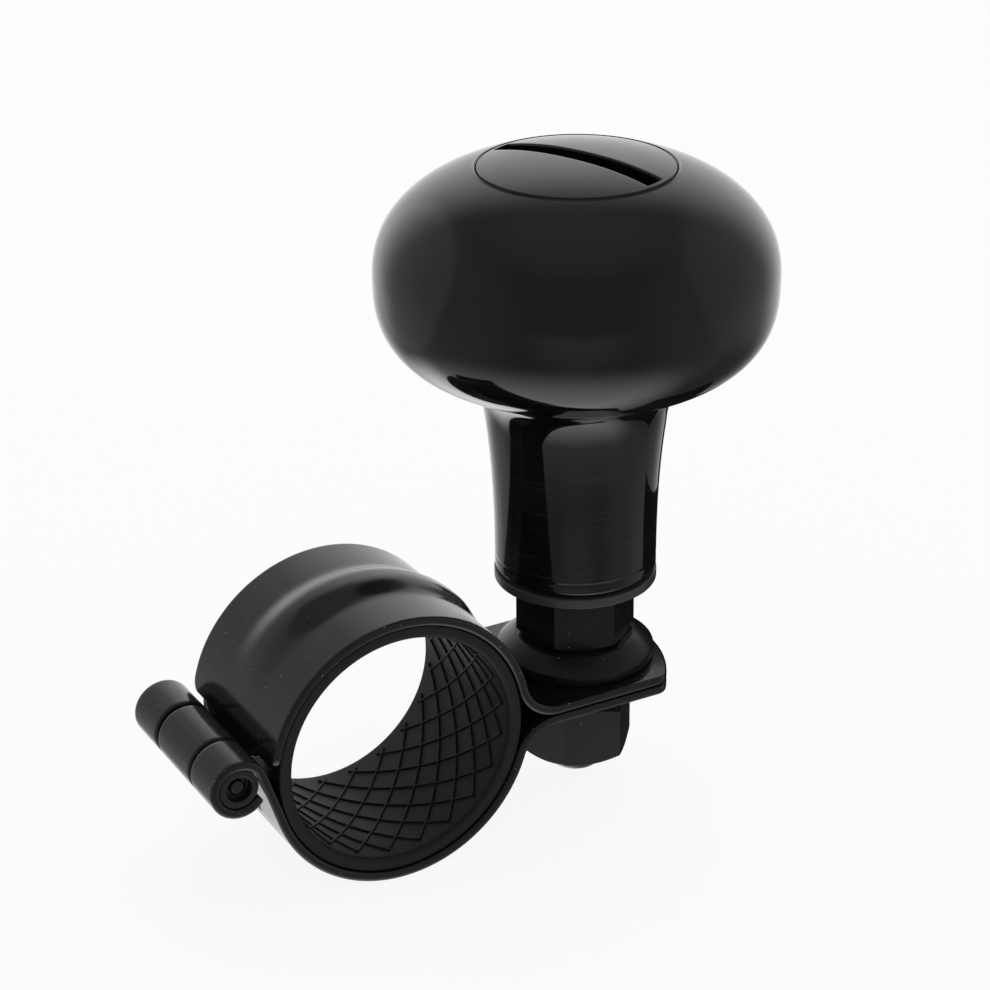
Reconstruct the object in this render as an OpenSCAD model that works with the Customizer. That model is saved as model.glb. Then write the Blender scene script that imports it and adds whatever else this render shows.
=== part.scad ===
// Steering wheel spinner knob with a hinged two-piece rim clamp.
// Millimetres, +Z up along the spindle. The origin is the middle of the clamp bore, which runs
// along Y, and the knob stands off towards +X.

/* [Rim clamp] */
// Radius of the rim that the liner grips
rim_r = 18.6; // [16:0.1:21]
// Width of the bands along the rim
clamp_w = 30; // [26:0.5:38]
// Thickness of the band sheet
sheet_t = 1.5; // [1.2:0.1:1.8]
// Concave radius where a band turns into its tab
bend_r = 6; // [4:0.5:7]
// How far the parting plane of the tabs lies below the bore axis
parting_drop = 1.4; // [0.5:0.1:2.5]
// Gap between the two closed tabs
tab_gap = 0.2; // [0.1:0.05:0.5]
// How far the tabs reach past the spindle axis
tab_reach = 13.6; // [13.2:0.1:16]
// Radius of the tabs' round end
tab_end_r = 23.5; // [21:0.5:30]
// Radius of the corners where the round end meets the straight sides
tab_corner_r = 2.5; // [1:0.5:5]
// How much longer than wide the lower tab's hole is, so that the jaw swings past the stud
swing_slot = 3.6; // [3.4:0.1:5]

/* [Pressed bead] */
// Height of the bead over the upper band
bead_h = 1.2; // [0.6:0.1:1.6]
// Half the bead's width
bead_half_w = 9; // [6:0.5:10]
// Direction of the bead's middle round the bore
bead_mid_a = 84; // [80:1:90]
// Angle from the bead's middle to each end
bead_half_a = 62; // [50:1:64]
// How quickly the bead's ends run out
bead_fade = 4; // [3:0.5:6]

/* [Hinge] */
// Distance of the hinge axis from the bore axis, along X
hinge_x = 27.8; // [27.6:0.1:29]
// Height of the hinge axis over the bore axis
hinge_z = 1.3; // [0:0.1:2]
// Outer radius of the rolled knuckles
knuckle_r = 4.8; // [4.2:0.1:5]
// Width of the middle knuckle
mid_knuckle_w = 12; // [8:0.5:14]
// Gap between neighbouring knuckles
knuckle_gap = 0.5; // [0.3:0.05:0.8]
// How far the middle knuckle sits off centre, towards -Y
knuckle_shift = 0.4; // [0:0.1:1]
// Where the upper band's ears end, round the bore
ear_end_a = 170; // [166:0.5:171]
// Width of the tongue where it leaves the upper band
tongue_root_w = 18; // [15:0.5:20]
// Slit between the tongue and each ear
ear_slit = 0.6; // [0.4:0.1:1]
// Where the cut between the lower band's two straps ends, round the bore
strap_cut_a = 200; // [196:0.5:203]
// Radius of the corners of that cut
strap_cut_r = 2; // [0.5:0.5:3]
// Clearance of the pin in the knuckles
pin_clear = 0.08; // [0.03:0.01:0.1]
// How deep the pin's ends lie in the knuckles
pin_inset = 0.4; // [0.2:0.1:1]
// Radius of the hollow in each pin end
pin_hollow_r = 2.1; // [1.5:0.1:2.4]
// Depth of the hollow in each pin end
pin_hollow_d = 1.6; // [0.8:0.1:3]
// Radius of the stub left in the hollow
pin_stub_r = 1.1; // [0.6:0.1:1.3]

/* [Liner] */
// Thickness of the liner at its end lips
liner_t = 2.5; // [2:0.1:3.5]
// Clearance between the liner and the bands
liner_fit = 0.1; // [0.05:0.01:0.15]
// How far the liner stops short of the band's edges
liner_inset = 0.5; // [0.2:0.1:1.5]
// Width of the smooth lip at each end
lip_w = 2.5; // [1.5:0.1:4]
// How much the wall between the lips is set back
wall_relief = 0.4; // [0.2:0.05:0.8]
// Chamfer of the liner's edges
liner_chamfer = 0.5; // [0.2:0.1:0.9]
// Gap where the two liner halves meet
liner_split = 0.3; // [0.2:0.05:0.8]

/* [Spindle] */
// Distance of the spindle axis from the bore axis
spindle_x = 39.5; // [39:0.5:46]
// Diameter of the stud under the hexagon
stud_d = 10; // [8:0.5:10]
// How far the stud stands out of the clamp nut
stud_end = 2.3; // [1:0.1:5]
// Width across the flats of the hexagon
hex_af = 17; // [14:0.5:18]
// Height of the hexagon
hex_h = 10.2; // [7:0.1:14]
// Turn of the hexagon about the spindle
hex_turn = -20.6; // [-30:0.1:30]
// Radius of the shoulder that carries the lower bearing
shoulder_r = 5.5; // [5.2:0.1:5.9]
// Diameter of the bearing shaft
shaft_d = 8; // [7:0.5:8]
// Clearance of the shaft in what it carries
shaft_fit = 0.02; // [0.01:0.01:0.05]
// How far the shaft stands out of the retaining nut
shaft_end = 0.8; // [0.4:0.1:2]
// Chamfer of the stud's and shaft's ends
thread_chamfer = 1; // [0.5:0.1:1.5]

/* [Washers and nuts] */
// Radius of the conical base washer
base_r = 12.9; // [11:0.1:13]
// Height of the base washer
base_h = 4.2; // [3:0.1:6]
// Height of the base washer's straight rim
base_rim_h = 1.8; // [1:0.1:2.5]
// Width of the chamfer round its foot, twice the height
base_chamfer = 0.7; // [0.3:0.1:1]
// Radius of the base washer's flat top
base_top_r = 9.9; // [9:0.1:10.8]
// Clearance of the stud in washers and tabs
stud_clear = 0.4; // [0.2:0.05:0.5]
// Radius of the dust washer under the knob
dust_r = 13.2; // [12:0.1:14]
// Thickness of the dust washer
dust_t = 1.6; // [1:0.1:2.5]
// Clearance of the dust washer on the shoulder
dust_clear = 0.1; // [0.05:0.01:0.2]
// Radius of the flat washer under the tabs
flat_r = 9.8; // [9:0.1:10.5]
// Thickness of the flat washer
flat_t = 1.8; // [1:0.1:2.5]
// Radius of the split lock washer
lock_r = 8.8; // [8:0.1:9]
// Thickness of the lock washer
lock_t = 2.2; // [1.5:0.1:2.6]
// Width of the lock washer's split
lock_split = 1.2; // [0.6:0.1:2]
// Width across the flats of the clamp nut
nut_af = 17; // [14:0.5:18]
// Height of the clamp nut
nut_h = 10; // [8:0.1:12]
// Turn of the clamp nut about the spindle
nut_turn = -11.3; // [-30:0.1:30]
// Clearance of the nuts on their threads
nut_clear = 0.06; // [0.03:0.01:0.1]
// Width across the flats of the retaining nut
top_nut_af = 13; // [12:0.5:14]
// Height of the retaining nut
top_nut_h = 6.5; // [5:0.1:7]
// Radius of the retaining washer
top_washer_r = 8; // [6.5:0.1:8.4]
// Thickness of the retaining washer
top_washer_t = 1.5; // [1:0.1:2]
// Slope of the chamfer on the hexagons' corners
hex_chamfer_a = 30; // [15:1:35]

/* [Bearings] */
// Outer diameter of both ball bearings
bearing_d = 22; // [20:0.5:22]
// Width of both ball bearings
bearing_w = 7; // [6.6:0.1:8]
// Radius of the inner ring's outside
inner_ring_r = 6.05; // [6:0.05:6.2]
// Radius of the outer ring's inside
outer_ring_r = 9; // [8.8:0.05:9]
// Diameter of a ball
ball_d = 3.96; // [3.6:0.01:4]
// Number of balls in a bearing
ball_count = 7; // [6:1:8]
// Clearance of the balls in the grooves and cage
ball_clear = 0.06; // [0.04:0.01:0.1]
// Thickness of the cage
cage_t = 1.5; // [1:0.1:1.6]
// Height of the cage
cage_h = 5.2; // [4.8:0.1:5.6]
// Clearance of the outer rings in their seats
seat_fit = 0.02; // [0.01:0.01:0.04]
// Wall of the spacer between the inner rings
spacer_wall = 1.8; // [1:0.1:2]
// Thickness of the snap ring under the lower bearing
snap_t = 1; // [0.8:0.05:1.2]
// Depth of the snap ring's groove
snap_groove = 0.7; // [0.4:0.05:0.9]
// Width of the snap ring's section
snap_w = 1.8; // [1.2:0.1:2]
// Opening of the snap ring
snap_open_a = 50; // [30:1:70]

/* [Knob] */
// Diameter of the knob's head
knob_d = 63.5; // [58:0.5:70]
// Height of the head over its widest line
head_top_h = 19; // [16:0.1:24]
// Height of the head under its widest line
head_under_h = 18.1; // [14:0.1:22]
// Squareness of the head's upper curve
head_top_n = 2.25; // [2:0.05:2.6]
// Squareness of the head's lower curve
head_under_n = 2.75; // [2.2:0.05:3]
// Length of the neck up to the lowest point of the head's curve
neck_h = 32.1; // [26:0.1:40]
// Radius of the neck at its foot
neck_r = 13.1; // [13:0.1:14]
// How much the neck widens up to the blend
neck_flare = 1.5; // [0.5:0.1:2.5]
// Exponent of the neck's flare
neck_flare_n = 2.5; // [1.5:0.1:3]
// Height of the blend between neck and head, under the head's lowest point
blend_h = 5.2; // [3:0.1:8]
// Radius where the blend meets the head
blend_r = 20; // [18:0.5:22]
// Rounding of the neck's foot
foot_round = 0.8; // [0.3:0.1:1.2]
// Running gap between the dust washer and the neck
run_gap = 0.4; // [0.3:0.05:0.8]
// Height of the lip under the snap ring
foot_lip = 1.2; // [1:0.1:2]
// Radius of the clear bore round the spacer
core_r = 9; // [8:0.1:9.5]
// Depth of the upper bearing's seat under the knob's top
upper_seat_d = 20.8; // [19.8:0.1:24]

/* [Cap] */
// Radius of the cap
cap_r = 15.4; // [15:0.1:17]
// Gap round the cap's rim
cap_gap = 0.12; // [0.08:0.01:0.2]
// Thickness of the cap at its rim
cap_rim_t = 2; // [1.5:0.1:2.4]
// Radius of the cap's threaded skirt
skirt_r = 13.2; // [12.6:0.1:13.8]
// Height of the skirt
skirt_h = 4.5; // [3:0.1:5]
// Wall of the skirt
skirt_wall = 1.8; // [1.2:0.1:2.2]
// Clearance of the skirt in its thread
skirt_clear = 0.06; // [0.03:0.01:0.1]
// Width of the coin slot
slot_w = 2.6; // [1.6:0.1:3.2]
// Length of the coin slot
slot_l = 29.4; // [20:0.1:29.6]
// Depth of the coin slot under the top
slot_d = 2.4; // [1.5:0.1:2.8]
// Direction of the coin slot
slot_a = -67; // [-90:1:90]
// Rounding of the cap's rim
cap_round = 0.35; // [0.1:0.05:0.6]

/* [Hidden] */
$fn = 96;

// Radii of the liner and bands
liner_out_r = rim_r + liner_t;
band_in_r = liner_out_r + liner_fit;
band_out_r = band_in_r + sheet_t;
liner_w = clamp_w - 2 * liner_inset;
wall_r = rim_r + wall_relief;

// Heights of the stack on the spindle
upper_tab_z = -parting_drop + tab_gap / 2;
lower_tab_z = -parting_drop - tab_gap / 2 - sheet_t;
base_z = upper_tab_z + sheet_t;
hex_z = base_z + base_h;
dust_z = hex_z + hex_h;
neck_z = dust_z + dust_t + run_gap;
snap_z = neck_z + foot_lip;
lower_seat_z = snap_z + snap_t;
head_under_z = neck_z + neck_h;
equator_z = head_under_z + head_under_h;
knob_top_z = equator_z + head_top_h;
upper_seat_z = knob_top_z - upper_seat_d;
top_washer_z = upper_seat_z + bearing_w;
top_nut_z = top_washer_z + top_washer_t;
shaft_top_z = top_nut_z + top_nut_h + shaft_end;
flat_z = lower_tab_z - flat_t;
lock_z = flat_z - lock_t;
nut_z = lock_z - nut_h;
stud_z = nut_z - stud_end;
stud_r = stud_d / 2;
shaft_r = shaft_d / 2 - shaft_fit;
tab_tip_x = spindle_x + tab_reach;

// Hinge: both bands leave the ring on a straight line that touches the knuckle circle
hinge_r = norm([hinge_x, hinge_z]);
hinge_a = 180 - atan2(hinge_z, hinge_x);
leave_a = acos((band_in_r + knuckle_r) / hinge_r);
strap_l = sqrt(hinge_r * hinge_r - pow(band_in_r + knuckle_r, 2));
tongue_a = hinge_a - leave_a;
strap_a = hinge_a + leave_a;
roll_open_a = acos((knuckle_r - sheet_t) / knuckle_r) + 4;
roll_in_r = knuckle_r - sheet_t;
pin_r = roll_in_r - pin_clear;
pin_l = clamp_w - 2 * pin_inset;

// Bearing grooves and knob outline
pitch_r = (inner_ring_r + outer_ring_r) / 2;
groove_r = ball_d / 2 + ball_clear;
seat_r = bearing_d / 2;
neck_top_z = head_under_z - blend_h;
knob_r = knob_d / 2;
outline_steps = 28;
// A straight stretch of sheet runs this far into the curved ones, with its faces this much inside theirs
lap = 0.3;
lap_inset = 0.03;
// How far the bead's feet lie under the ring's face
bead_sink = 0.05;

// Superelliptic curves of the head: height at a radius
function head_top(r) = equator_z + head_top_h * pow(max(0, 1 - pow(r / knob_r, head_top_n)), 1 / head_top_n);
function head_under(r) =
    equator_z - head_under_h * pow(max(0, 1 - pow(r / knob_r, head_under_n)), 1 / head_under_n);
function neck_out(u) = neck_r + neck_flare * pow(u, neck_flare_n);
function bezier(a, b, c, u) = pow(1 - u, 2) * a + 2 * u * (1 - u) * b + u * u * c;
cap_seat_z = head_top(cap_r) - cap_rim_t;

// Area between two directions, as a fan of triangles round the origin
module sector(r, from, to) {
    fan = [for (i = [0:8]) let (a = from + (to - from) * i / 8) 2 * r * [cos(a), sin(a)]];
    polygon(concat([[0, 0]], fan));
}

// Part of a ring between two directions
module arc_band(r_in, r_out, from, to) {
    intersection() {
        difference() {
            circle(r_out);
            circle(r_in);
        }
        sector(r_out, from, to);
    }
}

// Stands an XZ outline up and gives it a width along Y
module across(w, y = 0) {
    translate([0, y, 0]) rotate([90, 0, 0]) linear_extrude(w, center = true) children();
}

// Turns what is built about Z so that it lies about the bore
module about_bore() { rotate([-90, 0, 0]) children(); }

module at_spindle(z = 0) { translate([spindle_x, 0, z]) children(); }

// Plan of both tabs: straight sides, a round end and rounded corners
module tab_plan() {
    corner_y = clamp_w / 2 - tab_corner_r;
    end_x = tab_tip_x - tab_end_r;
    corner_x = end_x + sqrt(pow(tab_end_r - tab_corner_r, 2) - corner_y * corner_y);
    corner_a = atan2(corner_y, corner_x - end_x);
    translate([-2 * hinge_x, -clamp_w / 2]) square([2 * hinge_x + corner_x, clamp_w]);
    for (side = [-1, 1]) translate([corner_x, side * corner_y]) circle(tab_corner_r);
    translate([end_x, 0]) intersection() {
        circle(tab_end_r);
        sector(tab_end_r, -corner_a, corner_a);
    }
}

module trim_to_plan(z_low, z_high) {
    intersection() {
        children();
        translate([0, 0, z_low]) linear_extrude(z_high - z_low) tab_plan();
    }
}

// Section of a band: the ring, the reversed bend and the flat tab, for a tab over the parting plane
module band_section(tab_low, tab_high, ring_end, side) {
    bend_z = (side > 0 ? tab_high : -tab_low) + bend_r;
    bend_x = sqrt(pow(band_out_r + bend_r, 2) - bend_z * bend_z);
    leave = atan2(bend_z, bend_x);
    mirror([0, side > 0 ? 0 : 1]) {
        arc_band(band_in_r, band_out_r, leave, ring_end);
        translate([bend_x, bend_z]) arc_band(bend_r, bend_r + sheet_t, 180 + leave, 270);
        translate([bend_x, bend_z - bend_r - sheet_t]) square([tab_tip_x - bend_x, sheet_t]);
    }
}

// Rolled knuckle about the hinge axis, starting at one direction and turning one way
module knuckle_section(start, way) {
    stop = start + way * (360 - roll_open_a);
    translate([-hinge_x, hinge_z]) arc_band(roll_in_r, knuckle_r, min(start, stop), max(start, stop));
}

// Cross-section of the pressed bead over a ring of radius r, in radius and width. Its feet lie just
// under the ring's face.
module bead_section(foot_r) {
    r = foot_r - bead_sink;
    arc_r = (bead_half_w * bead_half_w + bead_h * bead_h) / (4 * bead_h);
    intersection() {
        translate([r + bead_h - arc_r, 0]) circle(arc_r);
        translate([0, -bead_half_w / 2]) square([r + bead_h, bead_half_w]);
    }
    for (side = [-1, 1]) difference() {
        translate([0, side > 0 ? bead_half_w / 2 : -bead_half_w]) square([r + bead_h / 2, bead_half_w / 2]);
        translate([r + arc_r, side * bead_half_w]) circle(arc_r);
    }
}

// Bead over a ring of radius r, run out at both ends by a shifted cylinder
module bead_form(r) {
    run_out_r = norm([r * cos(bead_half_a) - bead_fade, r * sin(bead_half_a)]);
    intersection() {
        about_bore() rotate_extrude() bead_section(r);
        rotate([0, -bead_mid_a, 0]) translate([bead_fade, 0, 0]) rotate([90, 0, 0])
            cylinder(r = run_out_r, h = clamp_w, center = true);
        across(clamp_w) sector(r + bead_h, bead_mid_a - bead_half_a, bead_mid_a + bead_half_a);
    }
}

module upper_band() {
    mid_y = -knuckle_shift;
    half_root = tongue_root_w / 2;
    half_tip = mid_knuckle_w / 2;
    color("#1c1b1c") difference() {
        union() {
            trim_to_plan(-band_out_r, 2 * band_out_r) difference() {
                across(clamp_w) band_section(upper_tab_z, upper_tab_z + sheet_t, ear_end_a, 1);
                across(tongue_root_w + 2 * ear_slit, mid_y) sector(band_out_r, tongue_a, ear_end_a + 5);
            }
            difference() {
                bead_form(band_out_r);
                about_bore() cylinder(r = band_in_r + sheet_t / 2, h = clamp_w, center = true);
            }
            rotate([0, -tongue_a, 0]) translate([band_out_r - lap_inset, mid_y, 0]) rotate([0, -90, 0])
                linear_extrude(sheet_t - 2 * lap_inset) polygon([for (side = [1, -1], k = side > 0 ? [0:2] : [2:-1:0])
                    [[-lap, strap_l / 3, strap_l + lap][k], side * (k == 0 ? half_root : half_tip)]]);
            across(mid_knuckle_w, mid_y) knuckle_section(tongue_a - 180, -1);
        }
        bead_form(band_in_r);
        at_spindle(-band_out_r) cylinder(r = stud_r + stud_clear, h = 2 * band_out_r);
    }
}

// Strap of the swinging jaw with its rolled knuckle, between two places along the bore
module strap(low_y, high_y) {
    across(high_y - low_y, (low_y + high_y) / 2)
        rotate(strap_a) translate([band_in_r + lap_inset, -strap_l - lap])
            square([sheet_t - 2 * lap_inset, strap_l + 2 * lap]);
    across(high_y - low_y, (low_y + high_y) / 2) knuckle_section(strap_a - 180, 1);
}

module lower_band() {
    cut_w = mid_knuckle_w + 2 * knuckle_gap;
    cut_z = band_out_r * sin(strap_cut_a);
    color("#1c1b1c") difference() {
        union() {
            difference() {
                trim_to_plan(-2 * band_out_r, band_out_r)
                    across(clamp_w) band_section(lower_tab_z, lower_tab_z + sheet_t, 360 - strap_a, -1);
                translate([-hinge_x, -knuckle_shift, cut_z]) rotate([0, 90, 0]) linear_extrude(hinge_x)
                    strap_cut(cut_w);
            }
            strap(-clamp_w / 2, -knuckle_shift - cut_w / 2);
            strap(-knuckle_shift + cut_w / 2, clamp_w / 2);
        }
        at_spindle(-band_out_r) linear_extrude(band_out_r) {
            circle(stud_r + stud_clear);
            translate([swing_slot, 0]) circle(stud_r + stud_clear);
            translate([0, -stud_r - stud_clear]) square([swing_slot, stud_d + 2 * stud_clear]);
        }
    }
}

// Cut between the straps: open upwards, with round corners at its foot
module strap_cut(w) {
    height = knuckle_r + hinge_z + band_out_r;
    for (side = [-1, 1]) translate([-strap_cut_r, side * (w / 2 - strap_cut_r)]) circle(strap_cut_r);
    translate([-strap_cut_r, -w / 2 + strap_cut_r]) square([strap_cut_r, w - 2 * strap_cut_r]);
    translate([-height, -w / 2]) square([height - strap_cut_r, w]);
}

module hinge_pin() {
    color("#232224") translate([-hinge_x, 0, hinge_z]) rotate([90, 0, 0]) difference() {
        cylinder(r = pin_r, h = pin_l, center = true);
        for (side = [-1, 1]) translate([0, 0, side * pin_l / 2]) difference() {
            cylinder(r = pin_hollow_r, h = 2 * pin_hollow_d, center = true);
            translate([0, 0, -side * pin_hollow_d]) cylinder(r = pin_stub_r, h = pin_hollow_d, center = true);
        }
    }
}

// Liner section in radius and width: two lips, the wall set back between them, chamfered edges
module liner_section() {
    half = liner_w / 2;
    c = liner_chamfer;
    foot = half - lip_w;
    polygon([[liner_out_r - c, -half], [liner_out_r, -half + c], [liner_out_r, half - c], [liner_out_r - c, half],
             [rim_r + c, half], [rim_r, half - c], [rim_r, foot + wall_relief], [wall_r, foot],
             [wall_r, -foot], [rim_r, -foot - wall_relief], [rim_r, -half + c], [rim_r + c, -half]]);
}

// Half of the liner, over or under the parting plane
module liner_half(side) {
    box = 2 * liner_out_r + 1;
    intersection() {
        about_bore() rotate_extrude() liner_section();
        translate([-box / 2, -box / 2, -parting_drop + (side > 0 ? liner_split / 2 : -box - liner_split / 2)])
            cube([box, box, box]);
    }
}

module upper_liner() { color("#161616") liner_half(1); }
module lower_liner() { color("#161616") liner_half(-1); }

// Plain washer
module washer(r, bore, t) {
    difference() {
        cylinder(r = r, h = t);
        translate([0, 0, -1]) cylinder(r = bore, h = t + 2);
    }
}

// Hexagon whose corners are turned off at one or both ends
module hexagon(af, h, top, bottom) {
    corner_r = af / sqrt(3);
    drop = (corner_r - af / 2) * tan(hex_chamfer_a);
    flat_r = af / 2 * 0.97;
    slope = tan(hex_chamfer_a);
    intersection() {
        linear_extrude(h) circle(corner_r, $fn = 6);
        rotate_extrude() polygon(concat(
            [[0, 0]],
            bottom ? [[flat_r, 0], [corner_r + 0.1, (corner_r + 0.1 - flat_r) * slope]] : [[corner_r + 0.1, 0]],
            top ? [[corner_r + 0.1, h - (corner_r + 0.1 - flat_r) * slope], [flat_r, h]] : [[corner_r + 0.1, h]],
            [[0, h]]));
    }
}

// Nut with a plain bore of its thread's outer size
module nut(af, h, thread_r) {
    difference() {
        hexagon(af, h, true, true);
        translate([0, 0, -1]) cylinder(r = thread_r + nut_clear, h = h + 2);
    }
}

// Round rod between two heights, with a chamfer at the end that is named
module rod(r, low, high, end) {
    c = thread_chamfer;
    rotate_extrude() polygon(end > 0
        ? [[0, low], [r, low], [r, high - c], [r - c, high], [0, high]]
        : [[0, low], [r - c, low], [r, low + c], [r, high], [0, high]]);
}

module spindle() {
    color("#1d1c1d") at_spindle() {
        rod(stud_r, stud_z, hex_z + hex_h / 2, -1);
        translate([0, 0, hex_z]) rotate(hex_turn) hexagon(hex_af, hex_h, false, true);
        translate([0, 0, hex_z]) cylinder(r = shoulder_r, h = lower_seat_z - hex_z);
        rod(shaft_r, hex_z, shaft_top_z, 1);
    }
}

module base_washer() {
    color("#1c1b1c") at_spindle() rotate_extrude()
        polygon([[stud_r + stud_clear, base_z], [base_r - base_chamfer, base_z],
                 [base_r, base_z + base_chamfer / 2], [base_r, base_z + base_rim_h],
                 [base_top_r, hex_z], [stud_r + stud_clear, hex_z]]);
}

module dust_washer() { color("#2c2c2d") at_spindle(dust_z) washer(dust_r, shoulder_r + dust_clear, dust_t); }
module flat_washer() { color("#1d1c1d") at_spindle(flat_z) washer(flat_r, stud_r + stud_clear, flat_t); }

module lock_washer() {
    color("#1d1c1d") at_spindle(lock_z) difference() {
        washer(lock_r, stud_r + stud_clear, lock_t);
        translate([0, -lock_split / 2, -1]) cube([lock_r + 1, lock_split, lock_t + 2]);
    }
}

module clamp_nut() { color("#1d1c1d") at_spindle(nut_z) rotate(nut_turn) nut(nut_af, nut_h, stud_r); }

module retaining_washer() {
    color("#8d9094") at_spindle(top_washer_z) washer(top_washer_r, shaft_d / 2 + nut_clear, top_washer_t);
}

module retaining_nut() { color("#8d9094") at_spindle(top_nut_z) nut(top_nut_af, top_nut_h, shaft_d / 2); }

// Bearing pieces, each about its own middle height
module ball_groove() { rotate_extrude() translate([pitch_r, 0]) circle(groove_r); }

module inner_ring() {
    difference() {
        translate([0, 0, -bearing_w / 2]) washer(inner_ring_r, shaft_d / 2, bearing_w);
        ball_groove();
    }
}

module outer_ring() {
    difference() {
        translate([0, 0, -bearing_w / 2]) washer(seat_r - seat_fit, outer_ring_r, bearing_w);
        ball_groove();
    }
}

module each_ball() { for (i = [0:ball_count - 1]) rotate(i * 360 / ball_count) translate([pitch_r, 0, 0]) children(); }

module balls() { each_ball() sphere(r = ball_d / 2); }

module cage() {
    difference() {
        translate([0, 0, -cage_h / 2]) washer(pitch_r + cage_t / 2, pitch_r - cage_t / 2, cage_h);
        each_ball() rotate([0, 90, 0]) cylinder(r = ball_d / 2 + ball_clear, h = 2 * cage_t, center = true);
    }
}

lower_mid_z = lower_seat_z + bearing_w / 2;
upper_mid_z = upper_seat_z + bearing_w / 2;
module lower_inner_ring() { color("#a6a9ad") at_spindle(lower_mid_z) inner_ring(); }
module lower_outer_ring() { color("#a6a9ad") at_spindle(lower_mid_z) outer_ring(); }
module lower_balls() { color("#c8cbd0") at_spindle(lower_mid_z) balls(); }
module lower_cage() { color("#b08d4a") at_spindle(lower_mid_z) cage(); }
module upper_inner_ring() { color("#a6a9ad") at_spindle(upper_mid_z) inner_ring(); }
module upper_outer_ring() { color("#a6a9ad") at_spindle(upper_mid_z) outer_ring(); }
module upper_balls() { color("#c8cbd0") at_spindle(upper_mid_z) balls(); }
module upper_cage() { color("#b08d4a") at_spindle(upper_mid_z) cage(); }

module bearing_spacer() {
    low = lower_seat_z + bearing_w;
    color("#8d9094") at_spindle(low) washer(shaft_d / 2 + spacer_wall, shaft_d / 2, upper_seat_z - low);
}

module snap_ring() {
    out_r = seat_r + snap_groove - 0.1;
    color("#5a5c60") at_spindle(snap_z) difference() {
        washer(out_r, out_r - snap_w, snap_t);
        translate([0, 0, -1]) linear_extrude(snap_t + 2) sector(out_r, -snap_open_a / 2, snap_open_a / 2);
    }
}

// Outline of the knob from its foot to its top, as points in radius and height
function knob_outline() =
    let (n = outline_steps, top_r = neck_out(1),
         foot = [for (i = [0:6]) let (a = 90 * i / 6)
                 [neck_r - foot_round + foot_round * sin(a), neck_z + foot_round - foot_round * cos(a)]],
         neck = [for (i = [1:n]) let (u = i / n)
                 [neck_out(u), neck_z + foot_round + (neck_top_z - neck_z - foot_round) * u]],
         blend = [for (i = [1:n]) bezier([top_r, neck_top_z], [top_r + 0.9, head_under_z + 0.7],
                                         [blend_r, head_under(blend_r)], i / n)],
         under_a = acos(blend_r / knob_r),
         under = [for (i = [1:n]) let (r = knob_r * cos(under_a * (1 - i / n))) [r, head_under(r)]],
         top = [for (i = [1:n]) let (r = knob_r * cos(90 * i / n)) [max(0, r), head_top(r)]])
    concat([[0, neck_z]], foot, neck, blend, under, top);

module knob_body() {
    lower_top_z = lower_seat_z + bearing_w;
    groove = snap_groove;
    color("#121113") at_spindle() difference() {
        rotate_extrude() polygon(knob_outline());
        translate([0, 0, neck_z - 1]) cylinder(r = seat_r, h = lower_top_z - neck_z + 1);
        translate([0, 0, snap_z]) cylinder(r = seat_r + groove, h = snap_t);
        translate([0, 0, neck_z]) cylinder(r = core_r, h = upper_seat_z - neck_z + 1);
        translate([0, 0, upper_seat_z]) cylinder(r = seat_r, h = bearing_w + 1);
        translate([0, 0, top_washer_z]) cylinder(r = skirt_r + skirt_clear, h = knob_top_z - top_washer_z);
        translate([0, 0, cap_seat_z]) cylinder(r = cap_r + cap_gap, h = knob_top_z - cap_seat_z + 1);
    }
}

// Cap: a disc that carries on the head's curve, over a threaded skirt, with a coin slot
module knob_cap() {
    rim_z = head_top(cap_r) - cap_round;
    dome = [for (i = [0:outline_steps]) let (r = (cap_r - cap_round) * (1 - i / outline_steps)) [r, head_top(r)]];
    color("#141315") at_spindle() difference() {
        rotate_extrude() polygon(concat([[0, cap_seat_z], [cap_r, cap_seat_z], [cap_r, rim_z]], dome));
        translate([0, 0, knob_top_z]) rotate(slot_a) cube([slot_l, slot_w, 2 * slot_d], center = true);
    }
    color("#141315") at_spindle(cap_seat_z - skirt_h) washer(skirt_r, skirt_r - skirt_wall, skirt_h);
}

knob_body();
knob_cap();
snap_ring();
lower_outer_ring();
lower_balls();
lower_cage();
lower_inner_ring();
bearing_spacer();
upper_outer_ring();
upper_balls();
upper_cage();
upper_inner_ring();
retaining_washer();
retaining_nut();
spindle();
dust_washer();
base_washer();
upper_band();
hinge_pin();
upper_liner();
lower_band();
lower_liner();
flat_washer();
lock_washer();
clamp_nut();
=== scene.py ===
import math

import bmesh
import bpy
import numpy as np
from mathutils import Matrix, Vector


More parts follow.
